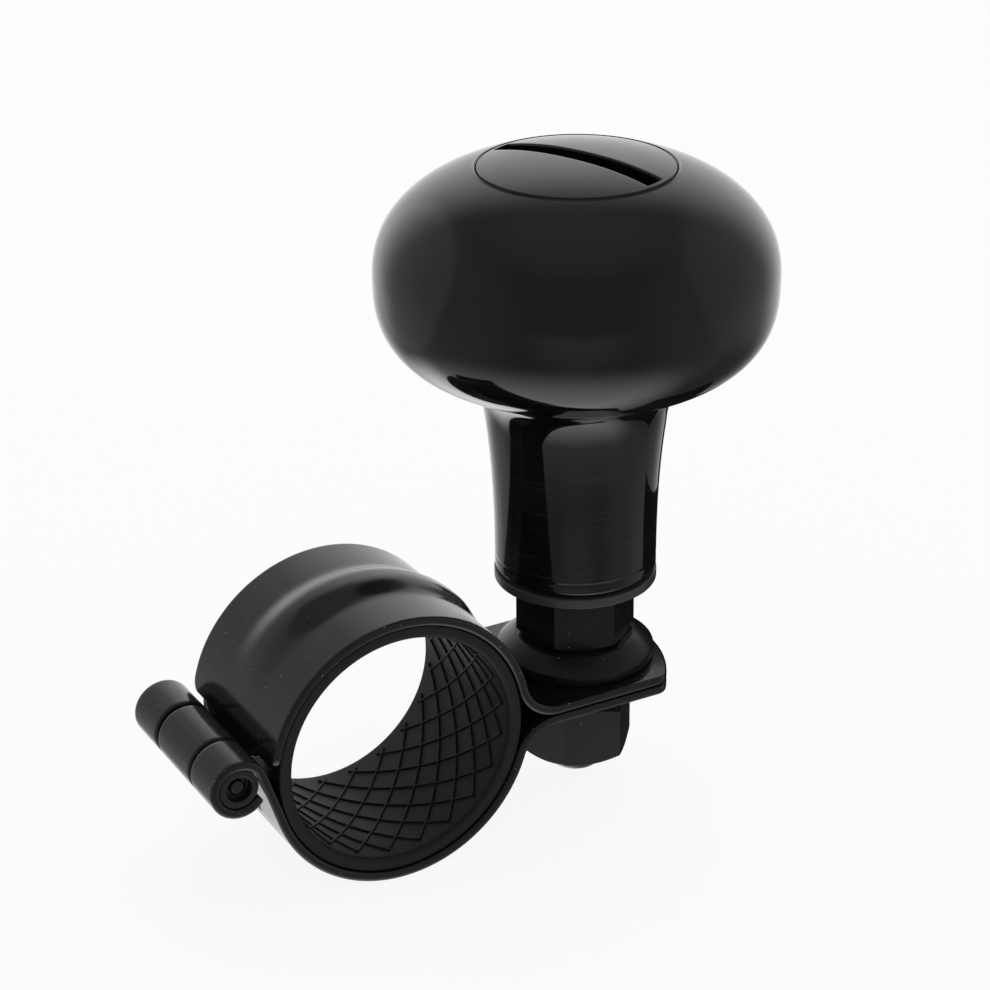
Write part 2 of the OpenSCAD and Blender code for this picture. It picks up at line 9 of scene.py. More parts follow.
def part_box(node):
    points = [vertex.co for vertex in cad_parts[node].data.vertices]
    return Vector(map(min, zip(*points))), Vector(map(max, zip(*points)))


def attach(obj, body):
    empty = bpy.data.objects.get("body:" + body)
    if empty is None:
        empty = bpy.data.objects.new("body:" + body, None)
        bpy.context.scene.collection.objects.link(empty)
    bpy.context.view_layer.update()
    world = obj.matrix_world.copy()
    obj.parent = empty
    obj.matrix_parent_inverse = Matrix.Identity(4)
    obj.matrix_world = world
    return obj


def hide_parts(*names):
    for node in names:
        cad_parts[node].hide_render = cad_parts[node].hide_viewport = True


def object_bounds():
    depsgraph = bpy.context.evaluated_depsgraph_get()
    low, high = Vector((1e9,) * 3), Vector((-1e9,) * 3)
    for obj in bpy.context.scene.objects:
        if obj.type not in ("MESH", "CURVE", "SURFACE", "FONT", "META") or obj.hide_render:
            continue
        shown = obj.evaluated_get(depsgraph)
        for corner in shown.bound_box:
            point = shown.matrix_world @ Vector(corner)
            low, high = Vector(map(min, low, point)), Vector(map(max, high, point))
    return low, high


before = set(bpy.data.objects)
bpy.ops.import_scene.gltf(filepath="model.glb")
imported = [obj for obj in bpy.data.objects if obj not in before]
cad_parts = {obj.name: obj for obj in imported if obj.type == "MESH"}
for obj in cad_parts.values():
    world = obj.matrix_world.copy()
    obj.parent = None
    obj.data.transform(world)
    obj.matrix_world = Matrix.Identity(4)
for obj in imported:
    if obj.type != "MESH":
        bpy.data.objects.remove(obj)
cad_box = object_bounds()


# Clamp bands: two strips of black painted steel sheet, each bent to half a ring with a flat tab at the
# spindle and rolled knuckles at the hinge. The upper one has a pressed bead along its middle.
mm = 0.001
sheet_t = 1.5
ring_r = 21.95
bend_r = 6.75
roll_r = 4.05
edge_round = 0.4
edge_depth = 0.6
tab_gap = 0.2
parting_z = -1.4
clamp_w = 30.0
tab_tip_x = 53.1
tab_end_r = 23.5
tab_corner_r = 2.5
spindle_x = 39.5
hinge = np.array([-27.8, 1.3])
roll_open = math.radians(50.6)
tongue_y = (-6.5, 5.5)
tongue_root_y = 9.5
notch_y = (-7.0, 6.3)
ear_end = math.radians(172.5)
ear_corner_r = 1.6
bead_h = 1.2
bead_half_w = 6.3
bead_slope_w = 5.5
bead_rise = np.radians([22, 44])
bead_fall = np.radians([110, 158])
press_way = 6
press_fade = (4.5, 9.4)
stud_hole_r = 5.4
swing_slot = 3.6
bore_z = (-8, 4)


class Value:
    """A shader value that can stand in a sum: each operator adds the Math node that it means."""

    def __init__(self, finish, socket):
        self.finish = finish
        self.socket = socket

    def math(self, operation, *others):
        return self.finish.node("ShaderNodeMath", {"operation": operation}, dict(enumerate((self, *others))))

    def also(self, name):
        """Another output of the same node."""
        return Value(self.finish, self.socket.node.outputs[name])

    def between(self, low, high):
        """0 at low, 1 at high, on a smooth curve between."""
        return self.finish.node("ShaderNodeMapRange", {"interpolation_type": "SMOOTHSTEP"},
                                {"Value": self, "From Min": low, "From Max": high})

    def __add__(self, other):
        return self.math("ADD", other)

    def __sub__(self, other):
        return self.math("SUBTRACT", other)

    def __mul__(self, other):
        return self.math("MULTIPLY", other)

    def __lt__(self, other):
        return self.math("LESS_THAN", other)

    def __gt__(self, other):
        return self.math("GREATER_THAN", other)

    def __rsub__(self, other):
        return self.math("MULTIPLY_ADD", -1.0, other)

    __radd__ = __add__
    __rmul__ = __mul__


class Finish:
    """A material in the making. Its fixed values sit on the shader's sockets, and node() adds the rest."""

    def __init__(self, name, tree=None, **fixed):
        self.material = None
        if tree is None:
            self.material = bpy.data.materials.new(name)
            self.material.use_nodes = True
            tree = self.material.node_tree
        self.tree = tree
        self.shader = tree.nodes.get("Principled BSDF")
        for socket, value in fixed.items():
            self.shader.inputs[socket.replace("_", " ")].default_value = value

    def node(self, kind, settings=None, inputs=None, output=0):
        """Adds one node: its settings or a ramp's stops first, then its sockets' values and links."""
        made = self.tree.nodes.new(kind)
        for name, value in (settings or {}).items():
            setattr(made, name, value)
        for name, value in (inputs or {}).items():
            if isinstance(value, Value):
                self.tree.links.new(value.socket, made.inputs[name])
            else:
                made.inputs[name].default_value = value
        return Value(self, made.outputs[output])

    def feed(self, **varying):
        """Links what varies over the surface to the shader's sockets."""
        for socket, value in varying.items():
            self.tree.links.new(value.socket, self.shader.inputs[socket.replace("_", " ")])

    def place(self, scale=(1, 1, 1), turn=(0, 0, 0), shift=(0, 0, 0)):
        """Object coordinates in metres, shifted, turned and scaled."""
        here = self.node("ShaderNodeTexCoord", output="Object")
        return self.node("ShaderNodeMapping", None,
                         {"Vector": here, "Scale": scale, "Rotation": turn, "Location": shift})

    def noise(self, size, detail=3.0, at=None, **settings):
        """Soft noise from 0 to 1 whose blotches are about this many millimetres across."""
        return self.node("ShaderNodeTexNoise", settings,
                         {"Vector": at or self.place(), "Scale": 1 / (size * mm), "Detail": detail})

    def specks(self, cell, size, share, at=None):
        """Mask of specks: balls of a radius in millimetres round the centres of a share of the cells."""
        near = self.node("ShaderNodeTexVoronoi", None,
                         {"Vector": at or self.place(), "Scale": 1 / (cell * mm)}, "Distance")
        lot = self.node("ShaderNodeSeparateColor", None, {"Color": near.also("Color")})
        return (near < size / cell * lot) * (lot.also("Green") < share)

    def mix(self, factor, first, second):
        return self.node("ShaderNodeMix", {"data_type": "RGBA"}, {0: factor, 6: first, 7: second}, 2)

    def relief(self, height, depth):
        """Bump of a height from 0 to 1 that stands for a depth in millimetres."""
        bump = self.node("ShaderNodeBump", None, {"Height": height, "Distance": depth * mm})
        self.feed(Normal=bump)


def painted(name, colour, roughness, grain, dust, coat=0.12, specular=0.5):
    """Black paint over steel: a fine orange peel, a mottled sheen, faint rubbing marks and pale dust."""
    finish = Finish(name, Specular_IOR_Level=specular, Coat_Roughness=0.08)
    mottle = finish.noise(6.0, 4.0)
    rubbed = finish.noise(0.7, 6.0, finish.place(scale=(1, 0.12, 1)))
    motes = finish.specks(0.9, 0.08, dust)
    tint = finish.mix(mottle, (*colour, 1), (colour[0] * 1.5, colour[1] * 1.3, colour[2] * 1.35, 1))
    finish.feed(Base_Color=finish.mix(motes, tint, (0.32, 0.31, 0.3, 1)),
                Roughness=roughness + 0.1 * mottle + 0.12 * rubbed.between(0.5, 0.8) + 0.4 * motes,
                Coat_Weight=coat - coat * motes)
    finish.relief(finish.noise(grain, 2.0) + 1.5 * motes, 0.006)
    return finish.material


def closed_mesh(name, grids, material, loops=(), sharp=32):
    """One object from grids of points in mm, rows x columns x 3: each cell of a grid is a face, each loop
    is a face too, points that coincide are merged, and the faces are turned outwards."""
    points = [grid.reshape(-1, 3) for grid in (*grids, *loops)]
    starts = np.cumsum([0] + [len(block) for block in points])
    faces = []
    for grid, start in zip(grids, starts):
        index = start + np.arange(grid.shape[0] * grid.shape[1]).reshape(grid.shape[:2])
        cells = np.stack([index[:-1, :-1], index[:-1, 1:], index[1:, 1:], index[1:, :-1]], axis=-1)
        faces += cells.reshape(-1, 4).tolist()
    for loop, start in zip(loops, starts[len(grids):]):
        faces.append(list(range(start, start + len(loop))))
    mesh = bpy.data.meshes.new(name)
    mesh.from_pydata((np.concatenate(points) * mm).tolist(), [], faces)
    work = bmesh.new()
    work.from_mesh(mesh)
    bmesh.ops.remove_doubles(work, verts=work.verts, dist=0.002 * mm)
    bmesh.ops.dissolve_degenerate(work, edges=work.edges, dist=0.001 * mm)
    bmesh.ops.recalc_face_normals(work, faces=work.faces)
    work.to_mesh(mesh)
    work.free()
    mesh.shade_smooth()
    mesh.set_sharp_from_angle(angle=math.radians(sharp))
    mesh.materials.append(material)
    piece = bpy.data.objects.new(name, mesh)
    bpy.context.collection.objects.link(piece)
    return piece


def walk(start, heading, stretches):
    """Path of the sheet's middle in X and Z, as a function of length: the heading changes evenly over each
    stretch (length, turn), and the place is the running sum of the steps. Gives the place, the direction
    of the face's normal (heading - 90 degrees) and the length at the end of each stretch."""
    ends = np.cumsum([0] + [length for length, turn in stretches])
    turns = heading + np.cumsum([0] + [turn for length, turn in stretches])
    s = np.linspace(0, ends[-1], 4001)
    h = np.interp(s, ends, turns)
    middle = (h[1:] + h[:-1]) / 2
    step = np.diff(s)
    x = start[0] + np.concatenate([[0], np.cumsum(np.cos(middle) * step)])
    z = start[1] + np.concatenate([[0], np.cumsum(np.sin(middle) * step)])

    def at(length):
        face = np.interp(length, s, h) - math.pi / 2
        return np.interp(length, s, x), np.interp(length, s, z), face

    return at, ends


def smooth(v, low, high):
    """0 at low, 1 at high, with flat ends."""
    u = np.clip((v - low) / (high - low), 0, 1)
    return u * u * (3 - 2 * u)


def fringe(plan):
    """Points and directions of a plate's edge strip, from its closed plan, which turns left. A point goes
    out along the mitre of the plan's two sides there, the sum of their normals over 1 plus their dot
    product. At a square outer corner the point is repeated while the direction turns."""
    along = np.roll(plan, -1, axis=0) - plan
    after = along[:, ::-1] * (1, -1) / np.hypot(*along.T)[:, None]
    before = np.roll(after, 1, axis=0)
    square = before[:, 0] * after[:, 1] - before[:, 1] * after[:, 0] > 0.5
    times = np.where(square, 6, 1)
    which = np.repeat(np.arange(len(plan)), times)
    part = (np.arange(len(which)) - np.repeat(np.cumsum(times) - times, times)) / 5
    part = np.where(square[which], part, 0.5)[:, None]
    way = before[which] * (1 - part) + after[which] * part
    mitre = (1 + (before * after).sum(axis=1)[which]) / 2
    return plan[which], way / np.where(square[which], np.hypot(*way.T), mitre)[:, None]


def pairs(s, y):
    """Rows of plan points from a length and a width, either of which may be one number."""
    return np.stack(np.broadcast_arrays(s, y), axis=-1).reshape(-1, 2)


def plate(at, s, half, share, legs, lift):
    """Grids of a bent plate, its upper face, lower face and rounded edge. The flat plan's body is s along
    the path by half its width on both sides. Each leg goes on from some columns of the body's last row:
    the first and last of them, and its own lengths and sides. The edge leaves the plan along a quarter
    ellipse, meets the other face's, and closes round the plan."""
    end = half[-1] * share
    patches = [(s[:, None] + 0 * share, half[:, None] * share)]
    outline = [pairs(s[:-1], -half[:-1])]
    here = 0
    for first, last, leg_s, low_y, high_y in legs:
        part = (share[first:last + 1] - share[first]) / (share[last] - share[first])
        leg_s = np.concatenate([s[-1:], leg_s])
        low_y = np.concatenate([end[first:first + 1], low_y])
        high_y = np.concatenate([end[last:last + 1], high_y])
        across = low_y[:, None] * (1 - part) + high_y[:, None] * part
        patches.append((leg_s[:, None] + 0 * part, across))
        outline += [pairs(s[-1], end[here:first]), pairs(leg_s[:-1], low_y[:-1]),
                    pairs(leg_s[-1], across[-1]), pairs(leg_s, high_y)[-2::-1]]
        here = last + 1
    outline += [pairs(s[-1], end[here:]), pairs(s, half)[-2:0:-1]]
    point, way = fringe(np.concatenate(outline))
    point, way = np.concatenate([point, point[:1]]), np.concatenate([way, way[:1]])

    def solid(length, y, depth):
        x, z, face = at(length)
        depth = depth + lift(y, x, z)
        return np.stack([x + depth * np.cos(face), y, z + depth * np.sin(face)], axis=-1)

    turn = np.linspace(0, math.pi / 2, 6)
    rim = edge_round * np.concatenate([np.sin(turn), np.sin(turn[::-1])])
    depth = sheet_t / 2 - edge_depth + edge_depth * np.cos(turn)
    depth = np.concatenate([depth, -depth[::-1]])
    faces = [solid(length, y, side * sheet_t / 2) for length, y in patches for side in (1, -1)]
    edge = solid(point[:, :1] + way[:, :1] * rim, point[:, 1:] + way[:, 1:] * rim, depth + 0 * point[:, :1])
    return faces + [edge]


def flat(y, x, z):
    """No relief on the sheet."""
    return 0.0 * (x + y)


def bead(y, x, z):
    """Height of the bead: it rises on a smooth slope from both its borders, and runs out at its ends."""
    a = np.arctan2(z, x)
    across = smooth(bead_half_w - abs(y), 0, bead_slope_w)
    along = smooth(a, *bead_rise) * smooth(-a, *-bead_fall[::-1])
    return bead_h * across * along


def pressed(y, x, z):
    """The upper band's relief: the bead, and where the strap leaves the ring on its tangent, a fall back
    towards the ring that fades before the roll. At a way w along the tangent it is R - sqrt(R^2 - w^2)."""
    way = np.sqrt(np.maximum(x * x + z * z - ring_r ** 2, 0)) * (x < 0)
    fall = ring_r - np.sqrt(ring_r ** 2 - np.minimum(way, press_way) ** 2)
    return bead(y, x, z) - fall * (1 - smooth(way, *press_fade))


def tab_plan(length):
    """Half plan of the tab and the ring behind it: from the tip's middle along the large arc, round the
    corner and straight back to this length. An arc's points are its centre plus its radius turned."""
    end_r = tab_end_r - edge_round
    corner_r = tab_corner_r - edge_round
    corner_y = clamp_w / 2 - tab_corner_r
    corner_s = tab_end_r - math.sqrt((end_r - corner_r) ** 2 - corner_y ** 2)
    turn = math.atan2(corner_y, tab_end_r - corner_s)
    a = np.linspace(0, turn, 18)
    b = np.linspace(turn, math.pi / 2, 10)[1:]
    side = np.linspace(corner_s, length - edge_round, 220)[1:]
    s = np.concatenate([tab_end_r - end_r * np.cos(a), corner_s - corner_r * np.cos(b), side])
    edge_y = clamp_w / 2 - edge_round
    half = np.concatenate([end_r * np.sin(a), corner_y + corner_r * np.sin(b), 0 * side + edge_y])
    return s, half


def band_path(tab_z, leave_ring):
    """Path of one band, for a ring over the parting plane: tab, reversed bend, ring, strap and roll."""
    bend_z = tab_z + bend_r
    bend_x = math.sqrt((ring_r + bend_r) ** 2 - bend_z ** 2)
    leave = math.atan2(bend_z, bend_x)
    strap = math.sqrt(hinge @ hinge - (ring_r + roll_r) ** 2)
    bent = math.pi / 2 - leave
    round_ring = leave_ring - leave
    rolled = 2 * math.pi - roll_open
    return walk((tab_tip_x, tab_z), math.pi, [(tab_tip_x - bend_x, 0), (bend_r * bent, -bent),
                                              (ring_r * round_ring, round_ring), (strap, 0),
                                              (roll_r * rolled, -rolled)])


def bore(piece, slot):
    """Cuts the stud's hole through a tab: a prism over a circle whose outer half is shifted by the slot."""
    a = np.linspace(0, 2 * math.pi, 97)
    x = spindle_x + slot * (np.cos(a) > 0.001) + stud_hole_r * np.cos(a)
    wall = np.stack([np.stack([x, stud_hole_r * np.sin(a), z + 0 * a], axis=-1) for z in bore_z])
    cutter = closed_mesh("bore", [wall], band_paint, wall[:, :-1])
    cut = piece.modifiers.new("bore", "BOOLEAN")
    cut.object = cutter
    cut.solver = "EXACT"
    seen = piece.evaluated_get(bpy.context.evaluated_depsgraph_get())
    mesh = bpy.data.meshes.new_from_object(seen)
    piece.modifiers.clear()
    piece.data = mesh
    bpy.data.objects.remove(cutter)


band_paint = painted("band_paint", (0.0045, 0.004, 0.0042), 0.12, 0.5, 0.9)
hinge_a = math.pi - math.atan2(hinge[1], -hinge[0])
leave_a = math.acos((ring_r + roll_r) / math.hypot(*hinge))
tab_z = (tab_gap + sheet_t) / 2

at, ends = band_path(parting_z + tab_z, hinge_a - leave_a)
ear_s = ends[3] + ring_r * math.sin(ear_end - hinge_a + leave_a)
s, half = tab_plan(ear_s)
body = s < ear_s - edge_round - ear_corner_r
turn = np.linspace(0, math.pi / 2, 8)
s = np.concatenate([s[body], ear_s - edge_round - ear_corner_r + ear_corner_r * np.sin(turn)])
half = np.concatenate([half[body], half[-1] - ear_corner_r + ear_corner_r * np.cos(turn)])
root = tongue_root_y / half[-1]
side_cells = 13
tongue_cells = 31
share = np.concatenate([np.linspace(-1, -root, side_cells + 1),
                        np.linspace(-root, root, tongue_cells + 1)[1:],
                        np.linspace(root, 1, side_cells + 1)[1:]])
leg_s = np.concatenate([[s[-1] + 0.5], np.arange(s[-1] + 0.7, ends[5] - edge_round, 0.2)])
narrow = smooth(leg_s, s[-1], s[-1] + 1.8)
low_y = -tongue_root_y + (tongue_y[0] + edge_round + tongue_root_y) * narrow
high_y = tongue_root_y + (tongue_y[1] - edge_round - tongue_root_y) * narrow
tongue = (side_cells, side_cells + tongue_cells, leg_s, low_y, high_y)
upper = closed_mesh("pressed_upper_band", plate(at, s, half, share, [tongue], pressed), band_paint)
bore(upper, 0)
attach(upper, "clamp")
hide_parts("upper_band")

at, ends = band_path(tab_z - parting_z, 2 * math.pi - hinge_a - leave_a)
s, half = tab_plan(ends[3] - 1.0)
edge_y = half[-1]
low_notch = notch_y[0] - edge_round
high_notch = notch_y[1] + edge_round
knuckle_cells = 15
notch_cells = 24
share = np.concatenate([np.linspace(-edge_y, low_notch, knuckle_cells + 1),
                        np.linspace(low_notch, high_notch, notch_cells + 1)[1:],
                        np.linspace(high_notch, edge_y, knuckle_cells + 1)[1:]]) / edge_y
leg_s = np.arange(s[-1] + 0.6, ends[5] - edge_round, 0.2)
after_notch = knuckle_cells + notch_cells
legs = [(0, knuckle_cells, leg_s, 0 * leg_s - edge_y, 0 * leg_s + low_notch),
        (after_notch, after_notch + knuckle_cells, leg_s, 0 * leg_s + high_notch, 0 * leg_s + edge_y)]
grids = plate(at, s, half, share, legs, flat)
for grid in grids:
    grid[..., 2] *= -1
lower = closed_mesh("swinging_lower_band", grids, band_paint)
bore(lower, swing_slot)
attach(lower, "jaw")
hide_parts("lower_band")


# Hinge pin: a pin of black steel, driven through the three rolled knuckles. Both its ends are drilled
# hollow and lie a little inside the rolls.
def edged_copy(node, name, material, width, sharp=25):
    """Copy of a solid of the frame: its loose triangles are merged, its edges are bevelled and smoothed."""
    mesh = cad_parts[node].data.copy()
    mesh.name = name
    mesh.materials.clear()
    mesh.materials.append(material)
    work = bmesh.new()
    work.from_mesh(mesh)
    bmesh.ops.remove_doubles(work, verts=work.verts, dist=0.001 * mm)
    bmesh.ops.dissolve_limit(work, verts=work.verts, edges=work.edges, angle_limit=math.radians(0.2))
    work.to_mesh(mesh)
    work.free()
    mesh.shade_smooth()
    mesh.set_sharp_from_angle(angle=math.radians(sharp))
    piece = bpy.data.objects.new(name, mesh)
    bpy.context.collection.objects.link(piece)
    bevel = piece.modifiers.new("edges", "BEVEL")
    bevel.limit_method = "ANGLE"
    bevel.angle_limit = math.radians(sharp)
    bevel.width = width * mm
    bevel.segments = 3
    bevel.harden_normals = True
    bevel.use_clamp_overlap = True
    return piece


def dressed(node, name, body, material, width, sharp=25):
    """A bevelled copy that stands for one solid."""
    piece = edged_copy(node, name, material, width, sharp)
    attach(piece, body)
    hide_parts(node)
    return piece


pin_paint = painted("pin_paint", (0.006, 0.0055, 0.0058), 0.2, 0.4, 0.3)
dressed("hinge_pin", "drilled_hinge_pin", "clamp", pin_paint, 0.2)


# Rubber liner: two moulded halves of matt black rubber, glued into the bands. Thin raised ribs cross on
# the gripping face, between two smooth borders.
liner_out_r = 21.1
liner_wall_r = 18.9
liner_half_w = 14.5
liner_split = 0.02
rib_h = 0.3
rib_w = 0.42
rib_end_y = 12.3
rib_count = 21
rib_pitch = 360 / rib_count
# One rib of each family: its direction in degrees, at a place along the bore in mm, and its turn per mm
rib_families = ((-79.0, -12.16, 2.92), (-26.2, -12.75, -2.83))


def rubber():
    """Matt black rubber: a fine dull grain, mottled by handling, with a little dust in it."""
    finish = Finish("liner_rubber", Specular_IOR_Level=0.35)
    cloud = finish.noise(5.0, 4.0)
    grain = finish.noise(0.25, 3.0)
    motes = finish.specks(0.9, 0.08, 0.3)
    tint = finish.mix(cloud, (0.006, 0.006, 0.006, 1), (0.011, 0.0108, 0.0105, 1))
    finish.feed(Base_Color=finish.mix(motes, tint, (0.16, 0.155, 0.15, 1)),
                Roughness=0.42 + 0.2 * cloud + 0.1 * grain)
    finish.relief(grain + cloud, 0.02)
    return finish.material


def rounded(corners, radius, steps=5):
    """Closed outline with its corners rounded: each becomes a quadratic curve between two points at the
    radius from it, or at under half of a short side. The radius may differ from corner to corner."""
    p = np.asarray(corners, float)
    before, after = np.roll(p, 1, axis=0) - p, np.roll(p, -1, axis=0) - p
    cuts = []
    for way in (before, after):
        length = np.hypot(*way.T)[:, None]
        cuts.append(p + way * np.minimum(np.reshape(radius, (-1, 1)), 0.45 * length) / length)
    u = np.linspace(0, 1, steps)[:, None]
    curve = (1 - u) ** 2 * cuts[0][:, None] + 2 * u * (1 - u) * p[:, None] + u ** 2 * cuts[1][:, None]
    return curve.reshape(-1, 2)


def liner_half(side):
    """Grids of one half: its rounded section in radius and width goes round the bore between the two
    directions at which each radius meets the parting plane, and the section closes both ends."""
    section = rounded([(liner_out_r, -liner_half_w), (liner_out_r, liner_half_w),
                       (liner_wall_r, liner_half_w), (liner_wall_r, -liner_half_w)], (0.4, 0.4, 0.9, 0.9), 7)
    section = np.concatenate([section, section[:1]])
    r, y = section.T
    dip = np.arcsin((parting_z + side * liner_split) / r)
    start, stop = (dip, math.pi - dip) if side > 0 else (-math.pi - dip, dip)
    a = start + (stop - start) * np.linspace(0, 1, 121)[:, None]
    shell = np.stack([r * np.cos(a), y + 0 * a, r * np.sin(a)], axis=-1)
    return [shell], [shell[0, :-1], shell[-1, :-1]]


def ribs(side):
    """Grids of the ribs of one half. A rib's middle turns evenly with the way along the bore, and its
    section is a rounded ridge: its height falls from the middle as a cosine's root."""
    dip = math.asin((parting_z + side * liner_split) / liner_wall_r)
    low, high = (dip, math.pi - dip) if side > 0 else (-math.pi - dip, dip)
    made = []
    for seen_a, seen_y, slope in rib_families:
        for turn in range(rib_count):
            first = math.radians(seen_a - slope * seen_y + turn * rib_pitch)
            for whole in (-2 * math.pi, 0, 2 * math.pi):
                rate = math.radians(slope)
                reach = np.sort([(low - first - whole) / rate, (high - first - whole) / rate])
                y0, y1 = np.clip(reach, -rib_end_y, rib_end_y)
                if y1 - y0 < 0.3:
                    continue
                y = np.linspace(y0, y1, max(3, int((y1 - y0) / 0.5)))[:, None]
                u = np.linspace(0, 2 * math.pi, 11)
                across = rib_w / 2 * np.cos(u)
                lean = math.hypot(1, rate * liner_wall_r)
                r = liner_wall_r + 0.1 - (rib_h + 0.1) * np.maximum(np.sin(u), 0) ** 0.6
                a = first + whole + rate * y + across * lean / liner_wall_r
                rib = np.stack([r * np.cos(a), y + 0 * a, r * np.sin(a)], axis=-1)
                ends = [np.repeat(rib[i].mean(axis=0)[None, None], len(u), axis=1) for i in (0, -1)]
                made.append(np.concatenate([ends[0], rib, ends[1]]))
    return made


liner_rubber = rubber()
for side, name, node, body in ((1, "ribbed_upper_liner", "upper_liner", "clamp"),
                               (-1, "ribbed_lower_liner", "lower_liner", "jaw")):
    shell, caps = liner_half(side)
    liner = closed_mesh(name, shell + ribs(side), liner_rubber, caps)
    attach(liner, body)
    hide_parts(node)


# Spindle: one turned and blackened piece, with the hexagon in its middle, the bearing shaft above it and
# the threaded stud below it, which goes down through both tabs.
lathe_turns = 144


def lathe(profile, turns=lathe_turns):
    """Surface of revolution about the spindle: each point of the profile, a radius and a height, is
    carried once round."""
    a = np.linspace(0, 2 * math.pi, turns + 1)
    r, z = np.asarray(profile).T[:, :, None]
    return np.stack([spindle_x + r * np.cos(a), r * np.sin(a), z + 0 * a], axis=-1)


def ring_of(corners, radius):
    """Closed turned ring, from the rounded corners of its section."""
    outline = rounded(corners, radius)
    return lathe(np.concatenate([outline, outline[:1]]))


def threaded(r, low, high, pitch, depth):
    """Threaded rod: the radius falls from the crest by a triangle wave of the height less the turn, and
    fades to the plain core at the chamfered end."""
    z = np.arange(low, high, pitch / 14)[:, None]
    a = np.linspace(0, 2 * math.pi, 97)
    wave = abs((z / pitch - a / (2 * math.pi)) % 1 * 2 - 1)
    radius = r - depth * np.clip(1.25 * wave - 0.1, 0, 1)
    radius = np.minimum(radius, r - 1.0 + (z - low))
    rod = np.stack([spindle_x + radius * np.cos(a), radius * np.sin(a), z + 0 * a], axis=-1)
    ends = [np.repeat(np.array([[[spindle_x, 0, rod[i, 0, 2]]]]), 97, axis=1) for i in (0, -1)]
    return np.concatenate([ends[0], rod, ends[1]])


stud_r = 5.0
stud_longer = 0.8
thread_depth = 0.62
thread_pitch = 1.5
steel_paint = painted("blackened_steel", (0.006, 0.0058, 0.006), 0.2, 0.35, 0.3, 0.0, 0.34)
spindle = edged_copy("spindle", "spindle", steel_paint, 0.3, 20)
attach(spindle, "clamp")
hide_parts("spindle")
# The copy's own stud draws in under the thread, towards the spindle's axis
points = np.empty(3 * len(spindle.data.vertices), dtype=np.float32)
spindle.data.vertices.foreach_get("co", points)
points = points.reshape(-1, 3)
stud = (points[:, 2] < 0) * (np.hypot(points[:, 0] - spindle_x * mm, points[:, 1]) < (stud_r + 0.1) * mm)
stud_end = points[:, 2].min() / mm
drawn_in = 1.2 * thread_depth / stud_r
points[stud, 0] += (spindle_x * mm - points[stud, 0]) * drawn_in
points[stud, 1] -= points[stud, 1] * drawn_in
points[:, 2] = np.maximum(points[:, 2], (stud_end + 0.1) * mm)
spindle.data.vertices.foreach_set("co", points.ravel())
thread_grid = threaded(stud_r, stud_end - stud_longer, -0.2, thread_pitch, thread_depth)
thread = closed_mesh("stud_thread", [thread_grid], steel_paint)
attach(thread, "clamp")


# Washers: the conical one under the hexagon, the flat disc that keeps dust from the lower bearing, and
# the flat and spring washers over the clamp nut. All are turned or punched steel.
base_foot = 0.5
base_side_h = 1.8
base_cone_w = 3.0
dust_hole_r = 5.6


def corners_of(node):
    """Outer radius, and lowest and highest height, of a round solid on the spindle."""
    low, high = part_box(node)
    return (high[1] - low[1]) / 2 / mm, low[2] / mm, high[2] / mm


satin = painted("satin_black", (0.03, 0.03, 0.031), 0.3, 0.3, 0.2, 0.0)
base_r, base_low, base_high = corners_of("base_washer")
base = closed_mesh("conical_base_washer", [ring_of(
    [(stud_hole_r, base_low), (base_r - base_foot, base_low), (base_r, base_low + 0.3),
     (base_r, base_low + base_side_h), (base_r - base_cone_w, base_high), (stud_hole_r, base_high)],
    (0.1, 0.2, 0.2, 0.18, 0.4, 0.1))], steel_paint)
dust_r, dust_low, dust_high = corners_of("dust_washer")
disc = closed_mesh("dust_disc", [ring_of([(dust_hole_r, dust_low), (dust_r, dust_low), (dust_r, dust_high),
                                          (dust_hole_r, dust_high)], 0.2)], satin)
for piece, node, slot in ((base, "base_washer", "black_steel"), (disc, "dust_washer", "satin_black_steel")):
    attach(piece, "clamp")
    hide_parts(node)
dressed("flat_washer", "punched_flat_washer", "nut_stack", steel_paint, 0.2)
dressed("lock_washer", "split_lock_washer", "nut_stack", steel_paint, 0.2)


# Clamp nut: a hexagon nut of blackened steel, drawn up on the stud under the tabs and its two
# washers. It closes the clamp on the rim and holds the spindle.
nut_finish = painted("phosphated_steel", (0.014, 0.0142, 0.0148), 0.24, 0.35, 0.3, 0.1)
dressed("clamp_nut", "clamp_nut_turned", "nut_stack", nut_finish, 0.35, 20)


# Knob: head and neck moulded in one from black plastic and polished. The cap over the retaining nut is
# the same plastic, screwed in flush, with a slot for a coin.
knob_r = 31.75
head_top_h = 19.0
head_top_n = 2.25
head_under_h = 18.1
head_under_n = 2.75
equator_up = 50.2
neck_r = 13.1
neck_h = 26.9
neck_flare = 1.5
blend_r = 20.0
blend_pull_r = 15.5
blend_pull_h = 32.8
foot_round = 0.8
groove_up = 2.1
groove_w = 0.5
seat_r = 11.0
core_r = 9.0
room_r = 13.26
snap_groove = 0.6
cap_r = 15.4
cap_rim_t = 2.0
skirt_out_r = 13.2
skirt_in_r = 11.4
skirt_h = 4.5
cap_gap = 0.05
cap_round = 0.3
mouth_round = 0.5
lip_rise = 0.3 * mouth_round
slot_a = math.radians(-67)
slot_w = 3.5
slot_l = 29.4
slot_d = 2.4
slot_round = 0.35


